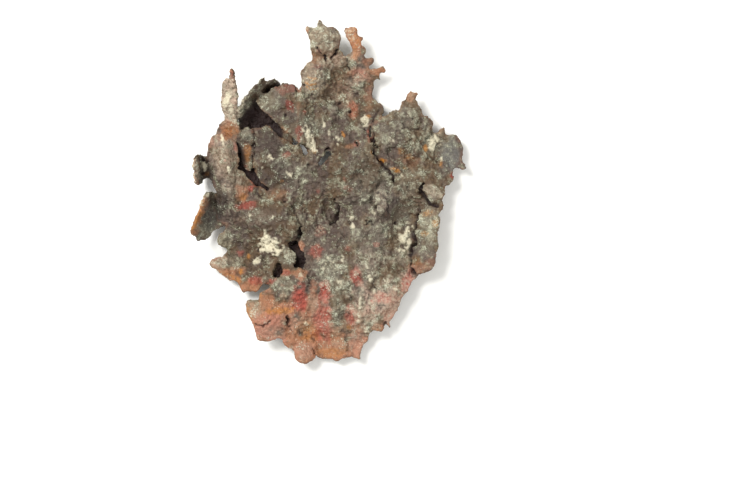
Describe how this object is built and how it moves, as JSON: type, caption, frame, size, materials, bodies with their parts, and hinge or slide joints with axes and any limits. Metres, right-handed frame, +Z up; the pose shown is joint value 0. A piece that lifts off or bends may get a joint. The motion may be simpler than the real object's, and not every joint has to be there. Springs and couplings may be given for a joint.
{
  "type": "native copper specimen",
  "caption": "Thin, ragged sheet of weathered native copper in overlapping leaves, with splits, small holes and one margin curled up; lies flat.",
  "frame": {"origin": "centre of the bounding box in plan, on the surface that the sheet lies on", "axes": "+X across the sheet towards its broad right lobe, +Y along its longest reach towards the narrow head, +Z up from the surface it lies on"},
  "size_m": [0.0822, 0.1027, 0.0145],
  "materials": {
    "weathered_copper": "weathered native copper: matt brown-grey oxide with pale green patina, cream mineral crusts, red cuprite and orange-brown rubbed edges"
  },
  "bodies": {
    "root": {"copper_sheet": "weathered_copper"}
  },
  "joints": []
}
